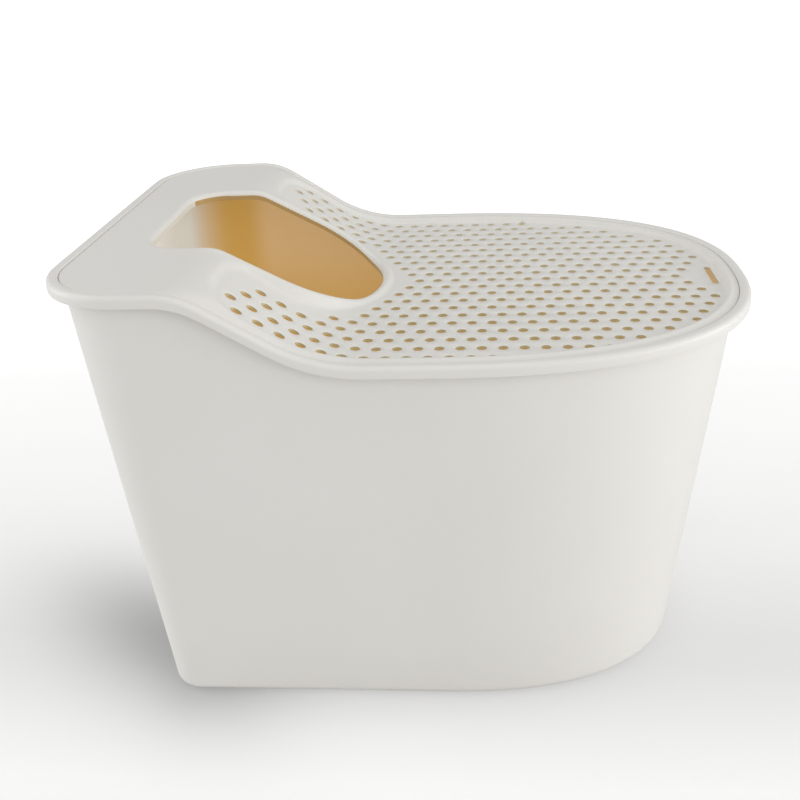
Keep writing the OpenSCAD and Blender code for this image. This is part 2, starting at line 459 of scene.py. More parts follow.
@dataclass
class RingLoft:
    """A skin drawn through rings of equal point count, extruded one after another."""

    name: str
    rings: list[np.ndarray]
    closed_section: bool = False
    capped: bool = False

    def build(self) -> bpy.types.Object:
        """Make the mesh.

        Returns:
            The new object, at the origin.
        """
        count = len(self.rings[0])
        deselect_all()
        bpy.ops.mesh.primitive_circle_add(vertices=count, radius=1.0, fill_type="NOTHING")
        piece = bpy.context.active_object
        piece.name = self.name
        bpy.ops.object.mode_set(mode="EDIT")
        mesh = bmesh.from_edit_mesh(piece.data)
        mesh.verts.ensure_lookup_table()
        ring = list(mesh.verts)
        self._place(ring, self.rings[0])
        for points in self.rings[1:]:
            ring = self._extrude(piece, ring)
            self._place(ring, points)
        total = count * len(self.rings)
        ends = [range(count), range(total - count, total)]
        if self.closed_section:
            self._select_rings(piece, ends)
            bpy.ops.mesh.bridge_edge_loops()
        if self.capped:
            for end in ends:
                self._select_rings(piece, [end])
                bpy.ops.mesh.edge_face_add()
        bpy.ops.mesh.select_all(action="SELECT")
        bpy.ops.mesh.normals_make_consistent(inside=False)
        bpy.ops.object.mode_set(mode="OBJECT")
        apply_place(piece)
        return piece

    @staticmethod
    def _place(ring: list[bmesh.types.BMVert], points: np.ndarray) -> None:
        """Put a ring's vertices on its points."""
        for vert, point in zip(ring, points):
            vert.co = Vector(point) * MM

    @staticmethod
    def _extrude(
        piece: bpy.types.Object, ring: list[bmesh.types.BMVert]
    ) -> list[bmesh.types.BMVert]:
        """Extrude a ring of edges.

        Args:
            piece: the object in edit mode.
            ring: the ring's vertices in order.

        Returns:
            The new ring's vertices in the same order.
        """
        mesh = bmesh.from_edit_mesh(piece.data)
        start = len(mesh.verts)
        for vert in mesh.verts:
            vert.select = False
        mesh.select_flush(False)
        indices = [v.index for v in ring]
        for a, b in zip(ring, ring[1:] + ring[:1]):
            mesh.edges.get((a, b)).select = True
        mesh.select_flush(True)
        bmesh.update_edit_mesh(piece.data)
        bpy.ops.mesh.extrude_edges_indiv()
        mesh = bmesh.from_edit_mesh(piece.data)
        mesh.verts.ensure_lookup_table()
        mesh.verts.index_update()
        fresh = {v for v in mesh.verts if v.index >= start}
        out = []
        for i in indices:
            old = mesh.verts[i]
            others = (edge.other_vert(old) for edge in old.link_edges)
            out.append(next(vert for vert in others if vert in fresh))
        return out

    @staticmethod
    def _select_rings(piece: bpy.types.Object, spans: list[range]) -> None:
        """Select the edges that run along rings, and nothing else.

        Args:
            piece: the object in edit mode.
            spans: each ring's vertex indices.
        """
        mesh = bmesh.from_edit_mesh(piece.data)
        mesh.verts.ensure_lookup_table()
        groups = {i: n for n, span in enumerate(spans) for i in span}
        wanted = []
        for edge in mesh.edges:
            a, b = (v.index for v in edge.verts)
            edge.select = False
            if a in groups and groups[a] == groups.get(b):
                wanted.append(edge)
        mesh.select_flush(False)
        for edge in wanted:
            edge.select = True
        bmesh.update_edit_mesh(piece.data)


# ---------------------------------------------------------------- finishes


class Graph:
    """A node tree under construction, whose nodes are placed and joined in one call."""

    def __init__(self, tree: bpy.types.NodeTree) -> None:
        """Work in one node tree.

        Args:
            tree: the tree that the nodes go into.
        """
        self.tree = tree

    def feed(self, node: bpy.types.Node, inputs: dict[str | int, object]) -> None:
        """Give a node's inputs their links or their values.

        Args:
            node: the node.
            inputs: a socket to link, a number or a colour for each input.
        """
        for key, value in inputs.items():
            if isinstance(value, Socket):
                self.tree.links.new(value, node.inputs[key])
            else:
                node.inputs[key].default_value = value

    def node(
        self, kind: str, inputs: dict[str | int, object] | None = None, **options: object
    ) -> bpy.types.Node:
        """Place a node.

        Args:
            kind: the node's type, without the words that every shader node starts with.
            inputs: a socket to link, a number or a colour for each input.
            options: the node's own settings.

        Returns:
            The node.
        """
        node = self.tree.nodes.new("ShaderNode" + kind)
        for key, value in options.items():
            setattr(node, key, value)
        self.feed(node, inputs or {})
        return node

    def sum(self, operation: str, *values: Socket | float) -> Socket:
        """Result of one arithmetic node."""
        return self.node("Math", dict(enumerate(values)), operation=operation).outputs[0]

    def add(self, a: Socket | float, b: Socket | float) -> Socket:
        """Sum of two values."""
        return self.sum("ADD", a, b)

    def times(self, a: Socket | float, b: Socket | float) -> Socket:
        """Product of two values."""
        return self.sum("MULTIPLY", a, b)

    def most(self, a: Socket | float, b: Socket | float) -> Socket:
        """The greater of two values."""
        return self.sum("MAXIMUM", a, b)

    def spread(
        self, value: Socket, low: float, high: float,
        to_low: Socket | float = 0.0, to_high: Socket | float = 1.0, eased: bool = False,
    ) -> Socket:
        """A value taken from one range to another.

        Args:
            value: the value.
            low: where the range starts.
            high: where the range ends.
            to_low: the result at the start.
            to_high: the result at the end.
            eased: whether the result starts and ends gently.

        Returns:
            The result's socket.
        """
        inputs = {
            "Value": value, "From Min": low, "From Max": high,
            "To Min": to_low, "To Max": to_high,
        }
        kind = "SMOOTHSTEP" if eased else "LINEAR"
        return self.node("MapRange", inputs, interpolation_type=kind).outputs["Result"]

    def blend(
        self, factor: Socket | float, a: Socket | Rgba, b: Socket | Rgba, kind: str = "MIX"
    ) -> Socket:
        """One colour over another.

        Args:
            factor: the share of the second colour.
            a: the first colour.
            b: the second colour.
            kind: how the colours are joined.

        Returns:
            The colour's socket.
        """
        inputs = {"Factor": factor, "A": a, "B": b}
        return self.node("Mix", inputs, data_type="RGBA", blend_type=kind).outputs["Result"]


@dataclass(frozen=True)
class Skin:
    """How a moulded surface feels: its grain, its waves, its gloss and its relief."""

    grain_scale: float
    wave_scale: float
    wave_share: float
    rough_low: float
    rough_high: float
    relief: float = 0.0
    depth: float = 0.0002


class SharedEffects:
    """Node groups that more than one finish uses."""

    def __init__(self) -> None:
        """Build every group once."""
        self.moulded_skin = self._moulded_skin()
        self.tone_drift = self._tone_drift()

    @staticmethod
    def _new(
        name: str, inputs: dict[str, tuple[str, object]], outputs: dict[str, str]
    ) -> tuple[Graph, bpy.types.Node, bpy.types.Node]:
        """An empty group with its sockets.

        Args:
            name: the group's name.
            inputs: the type and the starting value of each input.
            outputs: the type of each output.

        Returns:
            The group's graph, the node with its inputs and the node with its outputs.
        """
        tree = bpy.data.node_groups.new(name, "ShaderNodeTree")
        for key, (kind, value) in inputs.items():
            socket = tree.interface.new_socket(key, in_out="INPUT", socket_type=kind)
            if value is not None:
                socket.default_value = value
        for key, kind in outputs.items():
            tree.interface.new_socket(key, in_out="OUTPUT", socket_type=kind)
        inside = tree.nodes.new("NodeGroupInput")
        return Graph(tree), inside, tree.nodes.new("NodeGroupOutput")

    def _moulded_skin(self) -> bpy.types.NodeTree:
        """Fine satin grain and long soft waves of an injection-moulded wall.

        Returns:
            The node group.
        """
        graph, inside, out = self._new(
            "MouldedSkin",
            {
                "Vector": ("NodeSocketVector", None),
                "Grain Scale": ("NodeSocketFloat", 900.0),
                "Wave Scale": ("NodeSocketFloat", 9.0),
                "Wave Share": ("NodeSocketFloat", 0.5),
                "Rough Low": ("NodeSocketFloat", 0.38),
                "Rough High": ("NodeSocketFloat", 0.5),
            },
            {"Height": "NodeSocketFloat", "Roughness": "NodeSocketFloat"},
        )
        given = inside.outputs
        place = {"Vector": given["Vector"]}
        grain = graph.node("TexNoise", {**place, "Scale": given["Grain Scale"], "Detail": 2.0})
        wave = graph.node("TexNoise", {**place, "Scale": given["Wave Scale"], "Detail": 1.0})
        height = graph.node(
            "Mix",
            {
                "Factor": given["Wave Share"],
                "A": grain.outputs["Fac"],
                "B": wave.outputs["Fac"],
            },
            data_type="FLOAT",
        )
        rough = graph.spread(
            wave.outputs["Fac"], low=0.35, high=0.65,
            to_low=given["Rough Low"], to_high=given["Rough High"],
        )
        graph.feed(out, {"Height": height.outputs["Result"], "Roughness": rough})
        return graph.tree

    def _tone_drift(self) -> bpy.types.NodeTree:
        """A slow drift between two tones of one colour, with faint flow marks.

        Returns:
            The node group.
        """
        graph, inside, out = self._new(
            "ToneDrift",
            {
                "Vector": ("NodeSocketVector", None),
                "Scale": ("NodeSocketFloat", 4.0),
                "Tone A": ("NodeSocketColor", (0.8, 0.8, 0.8, 1.0)),
                "Tone B": ("NodeSocketColor", (0.7, 0.7, 0.7, 1.0)),
            },
            {"Color": "NodeSocketColor"},
        )
        given = inside.outputs
        drift = graph.node(
            "TexNoise",
            {
                "Vector": given["Vector"],
                "Scale": given["Scale"],
                "Detail": 3.0,
                "Distortion": 0.6,
            },
        )
        share = graph.spread(drift.outputs["Fac"], low=0.3, high=0.7)
        graph.feed(out, {"Color": graph.blend(share, given["Tone A"], given["Tone B"])})
        return graph.tree


class Surface(Graph):
    """A node material under construction, with its shader and its Object coordinates."""

    def __init__(self, name: str) -> None:
        """Make an empty Principled material.

        Args:
            name: the material's name.
        """
        self.material = bpy.data.materials.new(name)
        self.material.use_nodes = True
        super().__init__(self.material.node_tree)
        self.shader = self.tree.nodes["Principled BSDF"]
        self.place = self.node("TexCoord").outputs["Object"]

    def axes(self) -> tuple[Socket, ...]:
        """The places along, across and up, each as a socket."""
        return tuple(self.node("SeparateXYZ", {"Vector": self.place}).outputs)

    def group(self, tree: bpy.types.NodeTree, inputs: dict[str, object]) -> bpy.types.Node:
        """Place a shared effect, fed by Object coordinates.

        Args:
            tree: the node group.
            inputs: numbers or colours for its inputs.

        Returns:
            The group's node.
        """
        node = self.node("Group", node_tree=tree)
        self.feed(node, {"Vector": self.place, **inputs})
        return node

    def drift(
        self, effects: SharedEffects, scale: float, tone_a: Rgba, tone_b: Rgba
    ) -> Socket:
        """A colour that drifts between two tones.

        Args:
            effects: the shared node groups.
            scale: how fine the drift is.
            tone_a: the first tone.
            tone_b: the second tone.

        Returns:
            The colour's socket.
        """
        inputs = {"Scale": scale, "Tone A": tone_a, "Tone B": tone_b}
        return self.group(effects.tone_drift, inputs).outputs["Color"]

    def mould(self, effects: SharedEffects, skin: Skin) -> None:
        """Give the shader the roughness and the relief of a moulded skin.

        Args:
            effects: the shared node groups.
            skin: the skin's values.
        """
        node = self.group(
            effects.moulded_skin,
            {
                "Grain Scale": skin.grain_scale,
                "Wave Scale": skin.wave_scale,
                "Wave Share": skin.wave_share,
                "Rough Low": skin.rough_low,
                "Rough High": skin.rough_high,
            },
        )
        self.feed(self.shader, {"Roughness": node.outputs["Roughness"]})
        if skin.relief:
            bump = self.node(
                "Bump",
                {
                    "Strength": skin.relief,
                    "Distance": skin.depth,
                    "Height": node.outputs["Height"],
                },
            )
            self.feed(self.shader, {"Normal": bump.outputs["Normal"]})


@dataclass(frozen=True)
class IvoryPlastic:
    """Satin ivory plastic of the tub and the lid."""

    tone_a: Rgba = (0.82, 0.806, 0.771, 1.0)
    tone_b: Rgba = (0.80, 0.783, 0.745, 1.0)
    drift: float = 5.0
    gloss: float = 0.45
    skin: Skin = Skin(1100.0, 7.0, 0.12, 0.36, 0.44, relief=0.10)

    def make(self, effects: SharedEffects) -> bpy.types.Material:
        """Build the material.

        Args:
            effects: the shared node groups.

        Returns:
            The material.
        """
        surface = Surface("ivory_plastic")
        tone = surface.drift(effects, self.drift, self.tone_a, self.tone_b)
        surface.feed(surface.shader, {"Base Color": tone, "Specular IOR Level": self.gloss})
        surface.mould(effects, self.skin)
        return surface.material


@dataclass(frozen=True)
class InteriorPaintedLight:
    """Inside of the tub and the skirt, in painted light: ivory near the back wall, honey beyond.

    The honey, and the tan where it is high up, are painted light: the warm light that goes
    through the thin ivory walls. The ivory close to the back wall is painted direct light, and
    the finish holds a painted glow of its tones. Rays that don't come from the camera meet an
    even tone, so that the honey doesn't tint other pieces.
    """

    # painted light: these tones stand in for light through the walls and on the back wall
    ivory: Rgba = (0.69, 0.665, 0.62, 1.0)
    honey: Rgba = (0.625, 0.36, 0.082, 1.0)
    tan: Rgba = (0.71, 0.465, 0.225, 1.0)
    even: Rgba = (0.70, 0.66, 0.58, 1.0)
    glow: float = 0.26
    tan_along: tuple[float, float] = (-0.195, -0.165)
    tan_rise: tuple[float, float] = (0.20, 0.32)
    painted_back_light_fade: tuple[float, float] = (-0.242, -0.198)
    fade_power: float = 3.0
    skin: Skin = Skin(900.0, 6.0, 0.15, 0.42, 0.52, relief=0.1)

    def make(self, effects: SharedEffects) -> bpy.types.Material:
        """Build the material.

        Args:
            effects: the shared node groups.

        Returns:
            The material.
        """
        surface = Surface("interior_painted_light")
        x, _, z = surface.axes()
        # painted light: tan high up and far along, honey below and behind
        along = surface.spread(x, low=self.tan_along[0], high=self.tan_along[1], eased=True)
        rise = surface.spread(z, low=self.tan_rise[0], high=self.tan_rise[1], eased=True)
        warm = surface.blend(surface.times(along, rise), self.honey, self.tan)
        # painted direct light: ivory close to the back wall, fading into the painted warm light
        painted_back_light = surface.spread(
            x, low=self.painted_back_light_fade[0], high=self.painted_back_light_fade[1], to_low=1.0, to_high=0.0
        )
        painted_back_share = surface.sum("POWER", painted_back_light, self.fade_power)
        tone = surface.blend(painted_back_share, warm, self.ivory)
        camera_ray = surface.node("LightPath").outputs["Is Camera Ray"]
        seen = surface.blend(camera_ray, self.even, tone)
        # painted glow: the seen tone is also emitted
        surface.feed(
            surface.shader,
            {"Base Color": seen, "Emission Color": seen, "Emission Strength": self.glow},
        )
        surface.mould(effects, self.skin)
        return surface.material


@dataclass(frozen=True)
class PaintedGlowEdge:
    """Wall of an opening in the lid: thin plastic with a painted glow of the light from inside.

    Its tone goes from the near side of the box to the far side, which is painted light too.
    """

    name: str
    near_a: Rgba
    near_b: Rgba
    far: Rgba
    glow: float
    drift: float = 12.0
    across: tuple[float, float] = (-0.06, 0.15)
    skin: Skin = Skin(1100.0, 9.0, 0.12, 0.42, 0.52)

    def make(self, effects: SharedEffects) -> bpy.types.Material:
        """Build the material.

        Args:
            effects: the shared node groups.

        Returns:
            The material.
        """
        surface = Surface(self.name)
        near = surface.drift(effects, self.drift, self.near_a, self.near_b)
        _, y, _ = surface.axes()
        # painted light: the tone changes from the near side to the far side
        share = surface.spread(y, low=self.across[0], high=self.across[1])
        tone = surface.blend(share, near, self.far)
        # painted glow: the tone is also emitted
        surface.feed(
            surface.shader,
            {"Base Color": tone, "Emission Color": tone, "Emission Strength": self.glow},
        )
        surface.mould(effects, self.skin)
        return surface.material


@dataclass(frozen=True)
class GreyRubber:
    """Matt rubber of the foot pads, with fine dust."""

    tone_a: Rgba = (0.15, 0.145, 0.135, 1.0)
    tone_b: Rgba = (0.19, 0.185, 0.175, 1.0)
    drift: float = 160.0
    skin: Skin = Skin(1600.0, 60.0, 0.3, 0.78, 0.9, relief=0.35, depth=0.0004)

    def make(self, effects: SharedEffects) -> bpy.types.Material:
        """Build the material.

        Args:
            effects: the shared node groups.

        Returns:
            The material.
        """
        surface = Surface("grey_rubber")
        tone = surface.drift(effects, self.drift, self.tone_a, self.tone_b)
        surface.feed(surface.shader, {"Base Color": tone})
        surface.mould(effects, self.skin)
        return surface.material


@dataclass(frozen=True)
class Finishes:
    """Every material of the object."""

    ivory: bpy.types.Material
    painted_light_interior: bpy.types.Material
    hole_edge: bpy.types.Material
    lip_edge: bpy.types.Material
    entry_edge: bpy.types.Material
    rubber: bpy.types.Material

    @classmethod
    def build(cls) -> Finishes:
        """Make the materials from the shared effects.

        Returns:
            The materials.
        """
        # painted light: hole edges amber near the front and paler far off, lip edge pale, entry
        # edge amber, all with a painted glow
        hole_edge = PaintedGlowEdge(
            "hole_edge", (0.50, 0.42, 0.25, 1.0), (0.46, 0.37, 0.19, 1.0),
            (0.58, 0.54, 0.44, 1.0), glow=0.14,
        )
        lip_edge = PaintedGlowEdge(
            "lip_edge", (0.72, 0.69, 0.63, 1.0), (0.70, 0.67, 0.60, 1.0),
            (0.66, 0.62, 0.55, 1.0), glow=0.08,
        )
        entry_edge = PaintedGlowEdge(
            "entry_edge", (0.46, 0.30, 0.12, 1.0), (0.44, 0.28, 0.10, 1.0),
            (0.42, 0.26, 0.09, 1.0), glow=0.10,
        )
        effects = SharedEffects()
        kinds = (IvoryPlastic(), InteriorPaintedLight(), hole_edge, lip_edge, entry_edge, GreyRubber())
        return cls(*(kind.make(effects) for kind in kinds))


# ---------------------------------------------------------------- tub


@dataclass
class Tub:
    """Tapered tub with a rolled rim and a ledge that carries the lid."""

    plan: BoxPlan
    wall: float = 2.4
    floor: float = 3.0
    base: float = 1.5
    base_edge: float = 9.0
    lip_width: float = 8.6
    lip_height: float = 9.0
    lip_round: float = 3.6
    lip_flat_end: float = 5.4
    lip_bevel: float = 1.0
    foot_bevel: float = 0.5
    foot_edge: Pairs = ((0.7, 0.0), (0.2, 0.25), (0.0, 0.8))
    inner_edge: Pairs = ((1.6, 0.05), (0.8, 0.3), (0.2, 0.85), (0.0, 1.6))
    lid_drop: float = 3.4
    ledge_in: float = 13.8
    ledge_bevel: float = 0.4
    body_levels: int = 16
    outer_edge_steps: int = 8
    inner_edge_steps: int = 6
    lip_steps: int = 8
    crease: float = 38.0

    def _edge_ring(self, low: float, inset: float, edge: float, turn: float) -> np.ndarray:
        """One ring of the round edge between wall and floor.

        Args:
            low: level at which the wall ends and the edge starts.
            inset: distance of the wall from the body's outer face.
            edge: the edge's radius.
            turn: angle round the edge, 0 at the wall.

        Returns:
            An array of x, y, z rows.
        """
        loop = self.plan.body_loop(low, inset + edge * (1 - math.cos(turn)))
        return level_ring(loop, low - edge * math.sin(turn))

    def _outer_rings(self) -> list[np.ndarray]:
        """Rings from the underside, round the base edge and up to the rim.

        Returns:
            The rings.
        """
        low = self.base + self.base_edge
        steps = self.outer_edge_steps
        rings = [
            self._edge_ring(low, 0.0, self.base_edge, quarter(i, steps))
            for i in range(steps, -1, -1)
        ]
        top = self.plan.body_loop_under_rim(self.lid_drop + self.wall, 0.0)
        return rings + self._between(rings[-1], top, self.body_levels)

    def _inner_rings(self) -> list[np.ndarray]:
        """Rings from the ledge down the inside to the floor.

        Returns:
            The rings.
        """
        edge = self.base_edge - self.wall
        low = self.base + self.floor + edge
        steps = self.inner_edge_steps
        top = self.plan.body_loop_under_rim(self.lid_drop + self.wall, self.wall)
        bottom = level_ring(self.plan.body_loop(low, self.wall), low)
        rings = [top] + self._between(top, bottom, self.body_levels)
        return rings + [
            self._edge_ring(low, self.wall, edge, quarter(i, steps))
            for i in range(1, steps + 1)
        ]

    @staticmethod
    def _between(start: np.ndarray, end: np.ndarray, steps: int) -> list[np.ndarray]:
        """Rings in equal steps from one ring to another, without the first."""
        return [start + (end - start) * i / steps for i in range(1, steps + 1)]

    def _rim_section(self) -> list[tuple[float, float]]:
        """Section of the rolled rim, from the body round the roll to the ledge.

        Returns:
            Inset and drop pairs.
        """
        wall, foot, bevel = self.wall, self.lip_height, self.lip_bevel
        under = self.lid_drop + wall
        inside = self.lip_width - wall
        section = [
            (inside, under),
            (inside, wall + bevel),
            (inside - bevel, wall),
            (wall + bevel, wall),
            (wall, wall + bevel),
            (wall, foot - self.foot_bevel),
            (wall - self.foot_bevel, foot),
        ]
        section += [(inset, foot - rise) for inset, rise in self.foot_edge]
        turns = [quarter(i, self.lip_steps) for i in range(self.lip_steps + 1)]
        section += [
            (self.lip_round * (1 - math.cos(turn)), self.lip_round * (1 - math.sin(turn)))
            for turn in turns
        ]
        section.append((self.lip_flat_end, 0.0))
        section += [(self.lip_width - back, drop) for back, drop in self.inner_edge]
        section += [
            (self.lip_width, self.lid_drop),
            (self.ledge_in - self.ledge_bevel, self.lid_drop),
            (self.ledge_in, self.lid_drop + self.ledge_bevel),
            (self.ledge_in, under),
        ]
        return section

    def build(self, finishes: Finishes) -> bpy.types.Object:
        """Model and dress the tub.

        Args:
            finishes: the object's materials.

        Returns:
            The tub's mesh.
        """
        inner = self._inner_rings()
        rings = self._outer_rings() + self.plan.rim_rings(self._rim_section()) + inner
        piece = RingLoft("tub_shell", rings, capped=True).build()
        piece.data.materials.append(finishes.ivory)
        piece.data.materials.append(finishes.painted_light_interior)
        first_inner = (len(rings) - len(inner)) * len(rings[0])
        # painted light: the inner faces take the interior finish with its painted warm light and
        # glow
        for face in piece.data.polygons:
            if min(face.vertices) >= first_inner:
                face.material_index = ShellFace.INTERIOR
        smooth(piece, self.crease)
        dress(piece, BodyName.TUB, SlotName.IVORY, ("tub",))
        return piece


@dataclass
class FootPads:
    """Four rubber pads in the sockets of the tub's underside."""

    diameter: float = 26.0
    thickness: float = 3.0
    border: float = 3.2
    groove_width: float = 0.9
    groove_depth: float = 0.5
    edge_bevel: float = 0.25
    bevel_steps: int = 2
    sides: int = 64
    crease: float = 35.0

    def build(self, finishes: Finishes) -> list[bpy.types.Object]:
        """Model a pad in each socket.

        Args:
            finishes: the object's materials.

        Returns:
            The pads.
        """
        pads = []
        for end in End:
            for side in Side:
                node = f"foot_{end.value}_{side.value}"
                low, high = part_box(node)
                pads.append(self._pad(node, (low + high) / 2, finishes.rubber))
        return pads

    def _pad(
        self, node: str, centre: Vector, rubber: bpy.types.Material
    ) -> bpy.types.Object:
        """One pad with a rounded edge and a ring-shaped groove underneath.

        Args:
            node: the CAD node that it stands for.
            centre: the pad's middle, in metres.
            rubber: its material.

        Returns:
            The pad.
        """
        deselect_all()
        bpy.ops.mesh.primitive_cylinder_add(
            vertices=self.sides, radius=self.diameter / 2 * MM, depth=self.thickness * MM,
            location=centre,
        )
        piece = bpy.context.active_object
        piece.name = node.replace("foot_", "foot_pad_")
        bpy.ops.object.mode_set(mode="EDIT")
        mesh = bmesh.from_edit_mesh(piece.data)
        for face in mesh.faces:
            face.select = face.normal.z < -UPRIGHT
        bmesh.update_edit_mesh(piece.data)
        bpy.ops.mesh.inset(thickness=self.border * MM)
        bpy.ops.mesh.inset(thickness=self.groove_width * MM)
        mesh = bmesh.from_edit_mesh(piece.data)
        inner = [f for f in mesh.faces if f.select]
        ring = {f for g in inner for e in g.edges for f in e.link_faces} - set(inner)
        for face in mesh.faces:
            face.select = face in ring
        bmesh.update_edit_mesh(piece.data)
        bpy.ops.mesh.extrude_region_move(
            TRANSFORM_OT_translate={"value": (0.0, 0.0, self.groove_depth * MM)}
        )
        bpy.ops.object.mode_set(mode="OBJECT")
        bevel = piece.modifiers.new("edge", "BEVEL")
        bevel.width = self.edge_bevel * MM
        bevel.segments = self.bevel_steps
        bevel.limit_method = "ANGLE"
        only(piece)
        bpy.ops.object.modifier_apply(modifier=bevel.name)
        apply_place(piece)
        smooth(piece, self.crease)
        piece.data.materials.append(rubber)
        dress(piece, BodyName.TUB, SlotName.RUBBER, (node,))
        return piece


# ---------------------------------------------------------------- lid


@dataclass
class EntryPlan:
    """Plan of the entry: straight sides, an oval nose and rounded back corners."""

    start: float = -211.0
    centre: float = -104.0
    nose: float = 69.0
    half: float = 83.0
    corner: float = 30.0
    least_nose_steps: int = 8
    least_corner_steps: int = 6

    def outside(self, x: np.ndarray, y: np.ndarray) -> np.ndarray:
        """Distance outside the entry's edge.

        Args:
            x: places along the box.
            y: places across the box.

        Returns:
            The distances, below 0 inside the entry.
        """
        y = np.abs(y)
        cx, cy = self.start + self.corner, self.half - self.corner
        along = np.maximum(x - self.centre, 0.0)
        oval = np.maximum(np.hypot(along / self.nose, y / self.half), TINY)
        slope = np.hypot(along / self.nose**2, y / self.half**2)
        nose = (oval - 1) * oval / np.maximum(slope, LEAST_SLOPE)
        corner = np.hypot(x - cx, y - cy) - self.corner
        side = y - self.half
        back = self.start - x
        behind = np.where(y > cy, corner, back)
        beside = np.where(x > cx, np.maximum(side, back), behind)
        return np.where(x > self.centre, nose, beside)

    def loop(self, grow: float, pitch: float) -> np.ndarray:
        """Closed outline at a distance outside the edge.

        Args:
            grow: the distance outside the edge.
            pitch: the rough spacing of the points.

        Returns:
            An array of points, one row each.
        """
        cx, cy = self.start + self.corner, self.half - self.corner
        nose_arc = math.pi * (self.half + grow) / 2
        steps = max(self.least_nose_steps, round(nose_arc / pitch))
        points = []
        for i in range(steps + 1):
            turn = quarter(i, steps)
            out = math.hypot(math.cos(turn) / self.nose, math.sin(turn) / self.half)
            points.append((
                self.centre + math.cos(turn) * (self.nose + grow / self.nose / out),
                math.sin(turn) * (self.half + grow / self.half / out),
            ))
        run = round((self.centre - cx) / pitch)
        points += [
            (self.centre + (cx - self.centre) * i / run, self.half + grow)
            for i in range(1, run + 1)
        ]
        radius = self.corner + grow
        steps = max(self.least_corner_steps, round(math.pi * radius / 2 / pitch))
        turns = [quarter(i, steps) for i in range(1, steps + 1)]
        points += [
            (cx - radius * math.sin(turn), cy + radius * math.cos(turn)) for turn in turns
        ]
        run = round(cy / pitch)
        points += [(self.start - grow, cy * (1 - i / run)) for i in range(1, run + 1)]
        points += [(x, -y) for x, y in reversed(points[1:-1])]
        return np.array(points)


@dataclass
class ScoopSlot:
    """Plan of the slot at the lid's round end."""

    place: float = 240.0
    length: float = 42.0
    width: float = 5.2
    arc_steps: int = 10
    half_run_steps: int = 5

    @property
    def straight(self) -> float:
        """Half the length of the slot's straight sides."""
        return self.length / 2 - self.width / 2

    def loop(self, grow: float) -> np.ndarray:
        """Outline of the slot, moved out.

        Args:
            grow: the distance outside the slot's edge.

        Returns:
            An array of points, one row each.
        """
        radius, straight = self.width / 2 + grow, self.straight
        arc = [math.radians(180 * i / self.arc_steps) for i in range(self.arc_steps + 1)]
        run = [
            straight * (1 - i / self.half_run_steps)
            for i in range(1, 2 * self.half_run_steps)
        ]
        points = [
            (self.place + radius * math.cos(a), straight + radius * math.sin(a)) for a in arc
        ]
        points += [(self.place - radius, y) for y in run]
        points += [
            (self.place - radius * math.cos(a), -straight - radius * math.sin(a)) for a in arc
        ]
        points += [(self.place + radius, -y) for y in run]
        return np.array(points)

    def distance(self, x: np.ndarray, y: np.ndarray, half: float) -> np.ndarray:
        """Distance of places from the slot's middle line.

        Args:
            x: places along the box.
            y: places across the box.
            half: half the length of the middle line.

        Returns:
            The distances.
        """
        return np.hypot(x - self.place, np.maximum(np.abs(y) - half, 0.0))


@dataclass
class HoleLattice:
    """Places of the holes: rows across the lid, every second one shifted.

    The pitch is less on the slope. The entry's sizes here are the source's, so that the
    rows end where its holes end.
    """

    plan: BoxPlan
    slot: ScoopSlot
    radius: float = 3.8
    pitch: float = 15.28
    pitch_slope: float = 14.44
    row_pitch: float = 16.4
    origin: float = 210.6
    foot: float = -49.53
    first_column: int = -60
    last_column: int = 8
    panel_start: float = -148.0
    edge_margin: float = 22.2
    top_margin: float = 15.0
    entry_half: float = 78.0
    entry_centre: float = -110.0
    entry_margin: float = 16.0
    entry_margin_slope: float = 26.0
    corner: float = 28.0
    corner_share: float = 1.5
    collar: float = 9.6
    slot_clear: float = 29.4

    def _fits(self, x: float, y: float) -> bool:
        """Whether the panel has a hole at a place of the lattice.

        Args:
            x: place along the box.
            y: place across the box.

        Returns:
            True where the hole keeps every margin.
        """
        near = abs(y)
        inset = float(self.plan.inset_at(np.array([x]), np.array([y]))[0])
        beside = math.hypot(max(x - self.entry_centre, 0.0), y) - self.entry_half
        margin = self.entry_margin_slope if x < self.foot else self.entry_margin
        inner = x - self.panel_start + near - self.entry_half - self.collar
        clear_of_slot = near > self.slot.length / 2 + self.pitch or (
            self.slot.place - x > self.slot_clear - near / 2 - self.slot.width / 2
        )
        return (
            inset >= self.edge_margin - TINY
            and x > self.panel_start + self.top_margin
            and beside > margin
            and inner > self.corner + self.corner_share * self.top_margin
            and clear_of_slot
        )

    def centres(self) -> np.ndarray:
        """Every hole's centre.

        Returns:
            An array of points, one row each.
        """
        rows = int(self.plan.half_low // self.row_pitch)
        found = []
        for row in range(-rows, rows + 1):
            for column in range(self.first_column, self.last_column + 1):
                if (row + column) % 2:
                    continue
                x = self.origin + column * self.pitch / 2
                if x < self.foot:
                    x = self.foot + (x - self.foot) * self.pitch_slope / self.pitch
                if self._fits(x, row * self.row_pitch):
                    found.append((x, row * self.row_pitch))
        return np.array(found)


